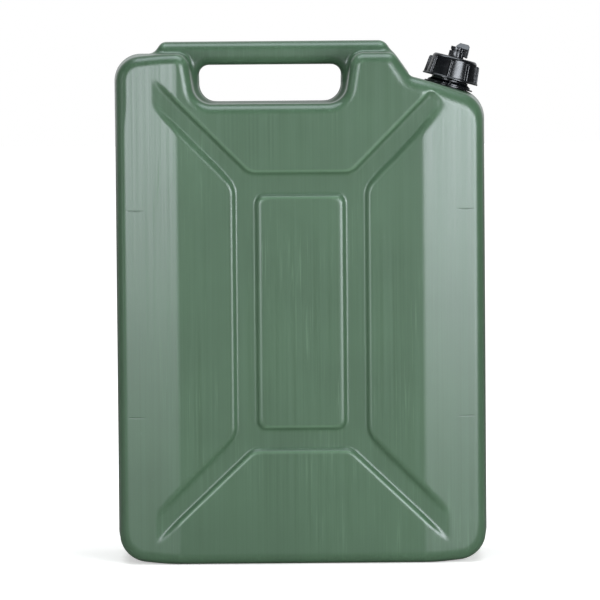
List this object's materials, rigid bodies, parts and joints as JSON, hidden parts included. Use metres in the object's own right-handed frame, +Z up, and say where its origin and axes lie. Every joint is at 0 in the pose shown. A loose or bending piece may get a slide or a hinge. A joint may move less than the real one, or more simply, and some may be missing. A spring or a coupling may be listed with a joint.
{
  "type": "fuel can",
  "caption": "Plastic fuel can with moulded handle, pressed channels on both broad faces, and a ribbed screw closure over a stowed spout.",
  "frame": {"origin": "centre of the can's footprint, on the ground", "axes": "+Z up; -Y is the broad face that the front view shows; +X is the side the neck is on"},
  "size_m": [0.35, 0.158, 0.49],
  "materials": {
    "green_polyethylene": "semi-gloss moulded",
    "black_plastic": "glossy moulded",
    "vent_plastic": "glossy moulded",
    "black_rubber": "matt"
  },
  "bodies": {
    "can": {"can_body": "green_polyethylene", "neck_fitting": "black_plastic"},
    "spout": {"spout_gasket": "black_rubber", "spout_tube": "black_plastic", "spout_nozzle": "black_plastic"},
    "gasket": {"closure_gasket": "black_rubber"},
    "closure": {"closure_disc": "black_plastic"},
    "ring": {"cap_ring": "black_plastic"},
    "vent_carrier": {"vent_seal": "black_rubber"},
    "vent": {"vent_knob": "vent_plastic"}
  },
  "joints": [
    {"name": "spout_lift", "type": "slide", "parent": "can", "child": "spout", "axis": [0.2588, 0, 0.9659], "range_m": [0, 0.18]},
    {"name": "closure_lift", "type": "slide", "parent": "spout", "child": "gasket", "axis": [0.2588, 0, 0.9659], "range_m": [0, 0.06]},
    {"name": "closure_rise", "type": "slide", "parent": "gasket", "child": "closure", "axis": [0.2588, 0, 0.9659], "range_m": [0, 0.0068]},
    {"name": "ring_turn", "type": "hinge", "parent": "closure", "child": "ring", "pos_m": [0.1412, 0, 0.4461], "axis": [0.2588, 0, 0.9659], "range_deg": [0, 540]},
    {"name": "vent_rise", "type": "slide", "parent": "closure", "child": "vent_carrier", "axis": [0.2588, 0, 0.9659], "range_m": [0, 0.00305]},
    {"name": "vent_turn", "type": "hinge", "parent": "vent_carrier", "child": "vent", "pos_m": [0.1412, 0, 0.4461], "axis": [0.2588, 0, 0.9659], "range_deg": [0, 720]}
  ],
  "couplings": [
    {"joint": "closure_rise", "follows": "ring_turn", "m_per_rad": 0.0007162},
    {"joint": "vent_rise", "follows": "vent_turn", "m_per_rad": 0.00023873}
  ]
}
